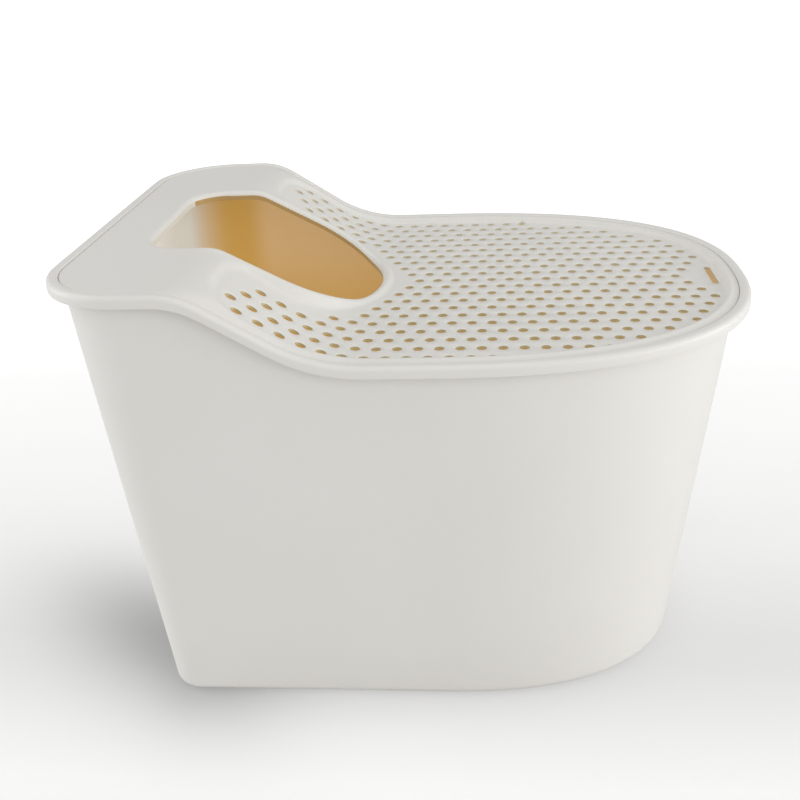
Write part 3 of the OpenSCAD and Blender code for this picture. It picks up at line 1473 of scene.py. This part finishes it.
@dataclass
class LidForm:
    """Height of the lid's top: flange and platform, sunk panel, fillets and collar."""

    plan: BoxPlan
    entry: EntryPlan
    sink: float = 1.0
    edge: float = 8.9
    edge_round: float = 1.2
    entry_round: float = 4.6
    platform_reach: float = 4.6
    platform_from: float = 8.0
    platform_run: float = 16.0
    bead: float = 1.35
    bead_place: float = 15.4
    bead_half: float = 3.2
    bead_from: float = -105.0
    bead_run: float = 60.0
    recess: float = 18.0
    panel_start: float = -141.5
    corner_inner: float = 28.0
    corner_outer: float = 34.0
    corner_ease: float = 0.8
    rim_fillet: float = 3.4
    rim_fillet_lead: float = 0.8
    rim_fillet_power: float = 0.8
    slope_fillet: float = 2.6
    slope_fillet_from: float = -20.0
    slope_fillet_run: float = 50.0
    arch_fillet: float = 4.2
    arch_fillet_lead: float = 1.5
    arch_fillet_power: float = 0.65
    collar_side: float = 87.6
    collar_width: float = 8.6
    collar_bank: float = 0.45
    collar_top: float = 5.6
    least_rise: float = 0.5
    panel: Ramp = Ramp(376.6, 321.0, -148.5, -63.54, 60.0, 120.0)
    collar: Ramp = Ramp(381.0, 324.0, -152.0, -46.0, 30.0, 30.0)

    def sunk(self, x: np.ndarray, y: np.ndarray) -> np.ndarray:
        """Share of the panel's depth: 0 on the flange and the platform, 1 on the panel.

        Args:
            x: places along the box.
            y: places across the box.

        Returns:
            The shares.
        """
        near = np.abs(y)
        from_rim = self.plan.inset_at(x, y) - self.recess
        arch = x - self.panel_start
        cx, cy = self.panel_start + self.corner_inner, self.collar_side + self.corner_inner
        inner = self.corner_inner - np.hypot(x - cx, near - cy)
        beside = self.entry.outside(x, y) - self.collar_side + self.entry.half
        eased = beside + self.corner_ease * (x - cx)
        arch = np.where((near < cy) & (x < cx), inner, arch)
        arch = np.where((near < cy) & (x >= cx), np.minimum(arch, eased), arch)
        ox = self.panel_start + self.corner_outer
        rim_rise = float(self.plan.rim.height(ox)) - self.plan.low
        rim_y = self.plan.half_low + rim_rise * self.plan.side_lean
        oy = rim_y - self.recess - self.corner_outer
        outer = self.corner_outer - np.hypot(x - ox, near - oy)
        arch = np.where((near > oy) & (x < ox), np.minimum(arch, outer), arch)
        uphill = smoothstep((self.slope_fillet_from - x) / self.slope_fillet_run)
        rim_width = self.rim_fillet + self.slope_fillet * uphill
        rim_share = np.clip((from_rim + self.rim_fillet_lead) / rim_width, 0, 1)
        arch_share = np.clip((arch + self.arch_fillet_lead) / self.arch_fillet, 0, 1)
        return np.minimum(
            smoothstep(rim_share**self.rim_fillet_power),
            smoothstep(arch_share**self.arch_fillet_power),
        )

    def top(self, x: np.ndarray, y: np.ndarray) -> np.ndarray:
        """Height of the lid's top surface.

        Args:
            x: places along the box.
            y: places across the box.

        Returns:
            The heights.
        """
        inset = self.plan.inset_at(x, y)
        inwards = smoothstep((inset - self.platform_from) / self.platform_run)
        flange = self.plan.rim.height(x - self.platform_reach * inwards) - self.sink
        bead = self.bead * np.clip(1 - ((inset - self.bead_place) / self.bead_half) ** 2, 0, 1)
        flange = flange + bead * smoothstep((x - self.bead_from) / self.bead_run)
        panel = self.panel.height(x)
        level = flange + (panel - flange) * self.sunk(x, y)
        out = self.entry.outside(x, y)
        rise = self.collar.height(x)
        width = self.collar_width + self.collar_bank * np.maximum(rise - panel, self.least_rise)
        bank = 1 - smoothstep((out - self.collar_top) / (width - self.collar_top))
        level = level + np.maximum(rise - level, 0.0) * bank
        level = level - rounding(self.entry_round, out)
        return level - rounding(self.edge_round, inset - self.edge)


class PlanPoints:
    """Points of the lid's plan, with their borders, as they are added."""

    def __init__(self) -> None:
        """Start with no points."""
        self.loops: list[np.ndarray] = []
        self.edges: list[tuple[int, int]] = []
        self.borders: list[np.ndarray] = []
        self.total = 0

    def add(self, loop: np.ndarray, border: int = Border.NONE) -> None:
        """Add points, joined to a closed border where they lie on one.

        Args:
            loop: the points, one row each.
            border: the border's number.
        """
        self.loops.append(loop)
        self.borders.append(np.full(len(loop), int(border)))
        if border != Border.NONE:
            turn = ((i, (i + 1) % len(loop)) for i in range(len(loop)))
            self.edges += [(self.total + a, self.total + b) for a, b in turn]
        self.total += len(loop)


@dataclass(frozen=True)
class PointGrid:
    """A grid of points in the lid's plan, every second row shifted.

    It leaves out a stretch along the box, where a finer grid lies, as far as it is a
    distance from the middle line.
    """

    along: tuple[float, float, float]
    across: tuple[float, float, float]
    without: tuple[float, float] = (0.0, 0.0)
    without_beyond: float = -1.0

    def points(self) -> np.ndarray:
        """The grid's points.

        Returns:
            An array of points, one row each.
        """
        start, end, step = self.along
        rows = []
        for n, y in enumerate(np.arange(*self.across)):
            x = np.arange(start + (n % 2) * step / 2, end, step)
            rows.append(np.column_stack([x, np.full(len(x), y)]))
        grid = np.vstack(rows)
        low, high = self.without
        left_out = (grid[:, 0] > low) & (grid[:, 0] < high)
        return grid[~(left_out & (np.abs(grid[:, 1]) > self.without_beyond))]


@dataclass
class Lid:
    """The drop-in lid: one moulded sheet with its holes, and the skirt beneath it."""

    plan: BoxPlan
    sheet: float = 2.4
    entry_lip: float = 7.6
    hole_round: float = 0.45
    hole_fall: float = 0.35
    hole_sides: int = 18
    hole_gap: float = 1.2
    point_gap: float = 6.0
    slot_gap: float = 2.6
    pitch: float = 3.0
    merge: float = 1e-7
    holes_from: float = 20.0
    rim_insets: tuple[float, ...] = (
        9.15, 9.4, 9.8, 10.6, 11.6, 12.8, 14.0, 15.0, 15.7, 16.2,
        16.7, 17.2, 17.7, 18.2, 18.8, 19.5, 20.3, 21.3, 22.6, 24.2,
    )
    entry_offsets: tuple[float, ...] = (
        0.04, 0.15, 0.4, 0.8, 1.4, 2.2, 3.2, 4.3, 5.4,
        6.5, 7.6, 8.8, 10.2, 11.8, 13.8, 16.4, 19.4, 23.0,
    )
    fill_inset: float = 25.5
    fill_offset: float = 24.5
    fill: tuple[PointGrid, ...] = (
        PointGrid((-158.0, -112.0, 2.2), (-178.0, -80.0, 2.0)),
        PointGrid((-158.0, -112.0, 2.2), (80.0, 178.0, 2.0)),
        PointGrid((-178.0, -20.0, 3.0), (-182.0, 183.0, 5.0), (-159.0, -111.0), 79.0),
        PointGrid((-256.0, 256.0, 8.0), (-188.0, 189.0, 8.0), (-179.0, -18.0)),
    )
    lip_reach: float = 0.1
    hole_wall_reach: float = 0.05
    entry_wall_reach: float = 0.09
    skirt_out: float = 14.3
    skirt_in: float = 16.7
    skirt_top: float = 2.6
    skirt_depth: float = 13.0
    skirt_bevel: float = 0.6
    sheet_crease: float = 42.0
    skirt_crease: float = 35.0
    painted_warm_light_from: float = -208.5

    def __post_init__(self) -> None:
        """Set out the entry, the slot, the surface and the holes."""
        self.entry = EntryPlan()
        self.slot = ScoopSlot()
        self.form = LidForm(self.plan, self.entry)
        self.lattice = HoleLattice(self.plan, self.slot)
        self.holes = self.lattice.centres()

    @staticmethod
    def _even_loop(loop: np.ndarray, pitch: float) -> np.ndarray:
        """A closed loop with its points spread evenly.

        Args:
            loop: the loop's points.
            pitch: the rough spacing of the new points.

        Returns:
            The new points, one row each.
        """
        ends = np.vstack([loop, loop[:1]])
        run = np.r_[0, np.cumsum(np.hypot(*np.diff(ends, axis=0).T))]
        steps = int(round(run[-1] / pitch))
        at = np.arange(steps) * run[-1] / steps
        return np.column_stack([np.interp(at, run, ends[:, 0]), np.interp(at, run, ends[:, 1])])

    def _plan_points(self) -> PlanPoints:
        """Points of the lid's plan: its borders, rings along them and grids between.

        Returns:
            The points with their borders.
        """
        plan = PlanPoints()
        plan.add(self._even_loop(self.plan.rim_loop(self.form.edge), self.pitch), Border.RIM)
        plan.add(self.entry.loop(0.0, self.pitch), Border.ENTRY)
        plan.add(self.slot.loop(0.0), Border.SLOT)
        turn = np.radians(np.arange(self.hole_sides) * 360 / self.hole_sides)
        circle = np.column_stack([np.cos(turn), np.sin(turn)])
        for n, centre in enumerate(self.holes):
            plan.add(centre + circle * self.lattice.radius, Border.FIRST_HOLE + n)
        for centre in self.holes:
            plan.add(centre + circle * (self.lattice.radius + self.hole_round))
        plan.add(self.slot.loop(self.hole_round))
        for inset in self.rim_insets:
            loop = self._even_loop(self.plan.rim_loop(inset), self.pitch)
            plan.add(self._clear(loop, self.point_gap if inset > self.holes_from else 0.0))
        for grow in self.entry_offsets:
            plan.add(self._clear(self.entry.loop(grow, self.pitch), self.point_gap))
        for fill in self.fill:
            grid = fill.points()
            inset = self.plan.inset_at(grid[:, 0], grid[:, 1])
            out = self.entry.outside(grid[:, 0], grid[:, 1])
            grid = grid[(inset > self.fill_inset) & (out > self.fill_offset)]
            plan.add(self._clear(grid, self.point_gap))
        return plan

    def _from_holes(self, places: np.ndarray) -> np.ndarray:
        """Distance of each place from the nearest hole's centre."""
        gap = places[:, None] - self.holes
        return np.hypot(gap[..., 0], gap[..., 1]).min(axis=1)

    def _clear(self, loop: np.ndarray, gap: float) -> np.ndarray:
        """Points that keep their distance from every hole and from the slot.

        Args:
            loop: the points.
            gap: the least distance from a hole's centre.

        Returns:
            The points that are left.
        """
        slot = self.slot.loop(0.0)
        aside = np.min(
            np.hypot(loop[:, 0, None] - slot[:, 0], loop[:, 1, None] - slot[:, 1]), axis=1
        )
        middle = self.slot.distance(loop[:, 0], loop[:, 1], self.slot.length / 2)
        off_slot = (aside > self.slot_gap) & (middle >= self.slot.width)
        least = max(gap, self.lattice.radius + self.hole_gap)
        return loop[off_slot & (self._from_holes(loop) > least)]

    def _triangles(self) -> tuple[np.ndarray, list[list[int]]]:
        """Triangulated plan of the lid, without its openings.

        Returns:
            The points, one row each, and each face's point numbers.
        """
        drawn = self._plan_points()
        coords = [Vector((x * MM, y * MM)) for x, y in np.vstack(drawn.loops)]
        verts, _, faces, origin, _, _ = delaunay_2d_cdt(
            coords, drawn.edges, [], 0, self.merge, True
        )
        plan = np.array([(v.x, v.y) for v in verts]) / MM
        borders = np.concatenate(drawn.borders)
        on = np.array([borders[o[0]] if o else Border.NONE for o in origin])
        kept = []
        for face in faces:
            touched = {int(on[i]) for i in face}
            if len(touched) == 1 and min(touched) >= Border.ENTRY:
                continue
            if touched == {Border.RIM}:
                centre = plan[face].mean(0)
                inset = self.plan.inset_at(centre[:1], centre[1:])[0]
                if inset < self.form.edge + ON_EDGE:
                    continue
            kept.append(list(face))
        LOG.info("lid plan: %d holes, %d points, %d faces", len(self.holes), len(plan), len(kept))
        return plan, kept

    def _sheet_piece(self, finishes: Finishes) -> bpy.types.Object:
        """The moulded sheet, drawn in plan, raised to its form and given its thickness.

        Args:
            finishes: the object's materials.

        Returns:
            The sheet.
        """
        plan, faces = self._triangles()
        height = self.form.top(plan[:, 0], plan[:, 1])
        fall = np.where(self._on_opening(plan, ON_EDGE), self.hole_fall, 0.0)
        mesh = bpy.data.meshes.new("lid_sheet")
        rows = np.column_stack([plan, height - fall]) * MM
        mesh.from_pydata(rows.tolist(), [], faces)
        piece = bpy.data.objects.new("lid_sheet", mesh)
        bpy.context.scene.collection.objects.link(piece)
        only(piece)
        bpy.ops.object.mode_set(mode="EDIT")
        bpy.ops.mesh.select_all(action="SELECT")
        bpy.ops.mesh.extrude_region_move(
            TRANSFORM_OT_translate={"value": (0.0, 0.0, -self.sheet * MM)}
        )
        self._shape_underside(piece)
        bpy.ops.mesh.select_all(action="SELECT")
        bpy.ops.mesh.normals_make_consistent(inside=False)
        bpy.ops.object.mode_set(mode="OBJECT")
        apply_place(piece)
        smooth(piece, self.sheet_crease)
        edges = (finishes.hole_edge, finishes.lip_edge, finishes.entry_edge)
        for material in (finishes.ivory, *edges):
            piece.data.materials.append(material)
        self._dress_edges(piece)
        dress(piece, BodyName.LID, SlotName.IVORY, ("lid",))
        return piece

    def _shape_underside(self, piece: bpy.types.Object) -> None:
        """Put the extruded side on its level, with the lip that turns down at the entry.

        Args:
            piece: the sheet in edit mode, with its extruded side selected.
        """
        shell = bmesh.from_edit_mesh(piece.data)
        low = [v for v in shell.verts if v.select]
        x = np.array([v.co.x for v in low]) / MM
        y = np.array([v.co.y for v in low]) / MM
        lip = self.form.collar.height(x) - self.entry_lip
        flat = self.form.top(x, y) - self.sheet
        at_entry = self.entry.outside(x, y) < self.sheet + self.lip_reach
        under = np.where(at_entry, lip, flat)
        for vert, level in zip(low, under):
            vert.co.z = float(level) * MM
        bmesh.update_edit_mesh(piece.data)

    def _on_opening(self, plan: np.ndarray, reach: float) -> np.ndarray:
        """Whether places lie within a hole or the slot, or close to its edge.

        Args:
            plan: the places, one row each.
            reach: how close counts.

        Returns:
            True or false for each place.
        """
        slot = self.slot.distance(plan[:, 0], plan[:, 1], self.slot.straight)
        in_hole = self._from_holes(plan) < self.lattice.radius + reach
        return in_hole | (slot < self.slot.width / 2 + reach)

    def _dress_edges(self, piece: bpy.types.Object) -> None:
        """Give the walls of the openings finishes with a painted glow of the light from inside.

        Args:
            piece: the sheet, with its four materials.
        """
        faces = [f for f in piece.data.polygons if abs(f.normal.z) < UPRIGHT]
        places = np.array([(f.center.x, f.center.y) for f in faces]) / MM
        lip = np.abs(self.entry.outside(places[:, 0], places[:, 1])) < self.entry_wall_reach
        holes = self._on_opening(places, self.hole_wall_reach)
        for face, hole, edge in zip(faces, holes, lip):
            if hole:
                face.material_index = SheetFace.HOLE_EDGE
            elif edge:
                # painted light: pale at the back of the entry, painted warm amber light beyond it
                at_back = face.center.x < self.painted_warm_light_from * MM
                face.material_index = SheetFace.LIP_EDGE if at_back else SheetFace.ENTRY_EDGE

    def _skirt_piece(self, finishes: Finishes) -> bpy.types.Object:
        """The locating skirt under the flange.

        Args:
            finishes: the object's materials.

        Returns:
            The skirt.
        """
        top, low, bevel = self.skirt_top, self.skirt_depth, self.skirt_bevel
        section = [
            (self.skirt_out, top), (self.skirt_out, low - bevel), (self.skirt_out + bevel, low),
            (self.skirt_in - bevel, low), (self.skirt_in, low - bevel), (self.skirt_in, top),
        ]
        rings = self.plan.rim_rings(section)
        piece = RingLoft("lid_skirt", rings, closed_section=True).build()
        piece.data.materials.append(finishes.ivory)
        piece.data.materials.append(finishes.painted_light_interior)
        # painted light: the inward walls take the interior finish with its painted warm light and
        # glow
        for face in piece.data.polygons:
            inwards = face.normal.x * face.center.x + face.normal.y * face.center.y < 0
            if inwards and abs(face.normal.z) < UPRIGHT:
                face.material_index = ShellFace.INTERIOR
        smooth(piece, self.skirt_crease)
        dress(piece, BodyName.LID, SlotName.IVORY)
        return piece

    def build(self, finishes: Finishes) -> list[bpy.types.Object]:
        """Model and dress the lid.

        Args:
            finishes: the object's materials.

        Returns:
            The lid's meshes.
        """
        return [self._sheet_piece(finishes), self._skirt_piece(finishes)]


# ---------------------------------------------------------------- stage


@dataclass(frozen=True)
class Lamp:
    """A soft square lamp that faces the middle of the box."""

    name: str
    place: Place
    power: float
    aim: Place = (0.0, 0.0, 0.2)
    size: float = 1.2

    def hang(self) -> None:
        """Put the lamp in the scene."""
        data = bpy.data.lights.new(self.name, "AREA")
        data.shape = "SQUARE"
        data.size = self.size
        data.energy = self.power
        lamp = bpy.data.objects.new(self.name, data)
        lamp.location = self.place
        sight = Vector(self.aim) - Vector(self.place)
        lamp.rotation_euler = sight.to_track_quat("-Z", "Y").to_euler()
        bpy.context.scene.collection.objects.link(lamp)


@dataclass(frozen=True)
class PaintedFloorShade:
    """Painted shade on the floor: contact shade round the base and one broad shadow.

    The broad shadow lies beside the flat end. It is a slanted oval that is shorter
    towards the round end.
    """

    contact: float = 0.06
    contact_reach: float = 0.032
    base_back: float = -0.205
    nose_centre: float = 0.03
    nose_stretch: float = 0.84
    nose_radius: float = 0.15
    cast: float = 0.50
    cast_place: tuple[float, float] = (-0.22, -0.09)
    cast_skew: float = 0.5
    cast_shorter: float = 0.7
    cast_along: float = 0.105
    cast_across: float = 0.062

    def _around_base(
        self, graph: Graph, x: Socket, y: Socket
    ) -> Socket:
        """Painted contact shade round the base's outline.

        Args:
            graph: the floor's nodes.
            x: the place along the box.
            y: the place across the box.

        Returns:
            The shade's socket, 1 where there is none.
        """
        past = graph.most(graph.add(x, -self.nose_centre), 0.0)
        along = graph.times(past, self.nose_stretch)
        radius = graph.sum("POWER", graph.add(graph.times(along, along), graph.times(y, y)), 0.5)
        out = graph.most(graph.add(radius, -self.nose_radius), 0.0)
        back = graph.most(graph.add(graph.times(x, -1.0), self.base_back), 0.0)
        gap = graph.add(graph.times(out, out), graph.times(back, back))
        fade = graph.sum("EXPONENT", graph.times(gap, -1.0 / self.contact_reach**2))
        return graph.add(graph.times(fade, -self.contact), 1.0)

    def _beside_flat_end(
        self, graph: Graph, x: Socket, y: Socket
    ) -> Socket:
        """The broad painted shadow beside the flat end.

        Args:
            graph: the floor's nodes.
            x: the place along the box.
            y: the place across the box.

        Returns:
            The shade's socket, 1 where there is none.
        """
        along = graph.add(x, -self.cast_place[0])
        across = graph.add(graph.add(y, -self.cast_place[1]), graph.times(along, self.cast_skew))
        reach = graph.add(along, graph.times(graph.most(along, 0.0), self.cast_shorter))
        spread = graph.add(
            graph.times(graph.times(reach, reach), -0.5 / self.cast_along**2),
            graph.times(graph.times(across, across), -0.5 / self.cast_across**2),
        )
        return graph.add(graph.times(graph.sum("EXPONENT", spread), -self.cast), 1.0)

    def over(
        self, graph: Graph, x: Socket, y: Socket
    ) -> Socket:
        """Both shades together, 1 where there is none."""
        return graph.times(self._around_base(graph, x, y), self._beside_flat_end(graph, x, y))


@dataclass
class Studio:
    """Floor, light and camera."""

    camera_place: Place = (0.0555, -0.8102, 0.6039)
    camera_turn: Place = (64.013, 2.704, 4.391)
    lens: float = 45.0
    sensor: float = 36.0
    nearest: float = 0.01
    lamps: tuple[Lamp, ...] = (
        Lamp("key", (2.05, -1.45, 0.873), 15.6),
        Lamp("front", (0.0, -2.13, 1.69), 5.4),
        Lamp("left_front", (-2.30, -1.0, 0.60), 5.0),
        Lamp("top", (0.0, 0.0, 2.8), 6.4),
        Lamp("right", (2.58, 0.0, 0.36), 18.0),
        Lamp("right_high", (2.13, 0.0, 1.69), 3.6),
        Lamp("left", (-2.56, 0.0, 0.65), 13.0),
        Lamp("left_high", (-1.99, 0.0, 1.87), 8.6),
    )
    sky: float = 0.47
    sky_colour: Rgba = (1.0, 0.995, 0.985, 1.0)
    white: Rgba = (1.0, 1.0, 1.0, 1.0)
    floor_size: float = 24.0
    floor_colour: Rgba = (0.8, 0.8, 0.8, 1.0)
    floor_rough: float = 0.9
    floor_lit: float = 0.55
    floor_glow: float = 1.25
    far_glow: float = 1.3
    far_from: float = 0.5
    far_share: float = 0.5
    tones_from: float = -0.25
    tones: Pairs = (
        (0.0, 0.89), (0.06, 0.83), (0.10, 0.785), (0.14, 0.755), (0.18, 0.755), (0.24, 0.80),
        (0.33, 0.865), (0.45, 0.905), (0.6, 0.94), (0.8, 0.985), (1.0, 1.0),
    )
    # painted shade on the floor
    shade: PaintedFloorShade = PaintedFloorShade()

    def build(self) -> None:
        """Set the stage."""
        self._floor()
        self._world()
        for lamp in self.lamps:
            lamp.hang()
        self._camera()
        bpy.context.scene.view_settings.view_transform = "Standard"

    def _camera(self) -> None:
        """The camera at the photograph's viewing angle."""
        data = bpy.data.cameras.new("camera")
        data.lens = self.lens
        data.sensor_width = self.sensor
        data.clip_start = self.nearest
        camera = bpy.data.objects.new("camera", data)
        camera.location = self.camera_place
        camera.rotation_euler = [math.radians(a) for a in self.camera_turn]
        bpy.context.scene.collection.objects.link(camera)
        bpy.context.scene.camera = camera

    def _world(self) -> None:
        """An even pale surround that the camera sees as white."""
        world = bpy.data.worlds.new("surround")
        world.use_nodes = True
        bpy.context.scene.world = world
        graph = Graph(world.node_tree)
        light = graph.tree.nodes["Background"]
        graph.feed(light, {"Color": self.sky_colour, "Strength": self.sky})
        seen = graph.node("Background", {"Color": self.white, "Strength": 1.0})
        mix = self._for_camera(graph, light.outputs["Background"], seen.outputs["Background"])
        graph.feed(graph.tree.nodes["World Output"], {"Surface": mix})

    @staticmethod
    def _for_camera(
        graph: Graph, others: Socket, camera: Socket
    ) -> Socket:
        """One shader for the camera and another for everything else.

        Args:
            graph: the nodes of the material or the world.
            others: the shader that light meets.
            camera: the shader that the camera meets.

        Returns:
            The mixed shader's socket.
        """
        camera_ray = graph.node("LightPath").outputs["Is Camera Ray"]
        mix = graph.node("MixShader", {"Fac": camera_ray, 1: others, 2: camera})
        return mix.outputs["Shader"]

    def _floor(self) -> None:
        """A pale floor that fades to white, keeps part of the object's real shadow and adds
        painted shade.
        """
        deselect_all()
        bpy.ops.mesh.primitive_plane_add(size=self.floor_size, location=(0.0, 0.0, 0.0))
        floor = bpy.context.active_object
        floor.name = "floor"
        surface = Surface("pale_floor")
        surface.feed(
            surface.shader,
            {
                "Base Color": self.floor_colour,
                "Roughness": self.floor_rough,
                "Specular IOR Level": 0.0,
            },
        )
        x, y, _ = surface.axes()
        tone = self._tone_across(surface, surface.add(y, -self.tones_from))
        # painted shade: the tone is darkened by the painted contact shade and broad shadow
        tone = surface.blend(1.0, tone, self.shade.over(surface, x, y), "MULTIPLY")
        past = surface.times(surface.add(y, -self.far_from), self.far_share)
        far = surface.sum("MINIMUM", surface.most(past, 0.0), 1.0)
        strength = surface.add(surface.times(far, self.far_glow), self.floor_glow)
        glow = surface.node("Emission", {"Color": tone, "Strength": strength})
        lit = surface.node("BsdfDiffuse", {"Color": tone})
        seen = surface.node(
            "MixShader",
            {"Fac": self.floor_lit, 1: glow.outputs["Emission"], 2: lit.outputs["BSDF"]},
        )
        mix = self._for_camera(surface, surface.shader.outputs["BSDF"], seen.outputs["Shader"])
        surface.feed(surface.tree.nodes["Material Output"], {"Surface": mix})
        floor.data.materials.append(surface.material)

    def _tone_across(self, graph: Graph, place: Socket) -> Socket:
        """The floor's tone from front to back.

        Args:
            graph: the floor's nodes.
            place: metres behind the front end of the tones.

        Returns:
            The tone's socket.
        """
        node = graph.node("ValToRGB", {"Fac": place})
        stops = node.color_ramp.elements
        stops[0].position = self.tones[0][0]
        stops[1].position = self.tones[-1][0]
        for position, _ in self.tones[1:-1]:
            stops.new(position)
        for stop, (_, tone) in zip(stops, self.tones):
            stop.color = (tone, tone, tone, 1.0)
        return node.outputs["Color"]


def main() -> None:
    """Load the frame, build every piece in order and set the stage."""
    logging.basicConfig(level=logging.INFO, format="%(name)s: %(message)s")
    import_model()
    plan = BoxPlan()
    finishes = Finishes.build()
    pieces = [Tub(plan).build(finishes)]
    pieces += Lid(plan).build(finishes)
    pieces += FootPads().build(finishes)
    for piece in pieces:
        LOG.info("piece %s: %d faces", piece.name, len(piece.data.polygons))
    Studio().build()


if __name__ == "__main__":
    main()
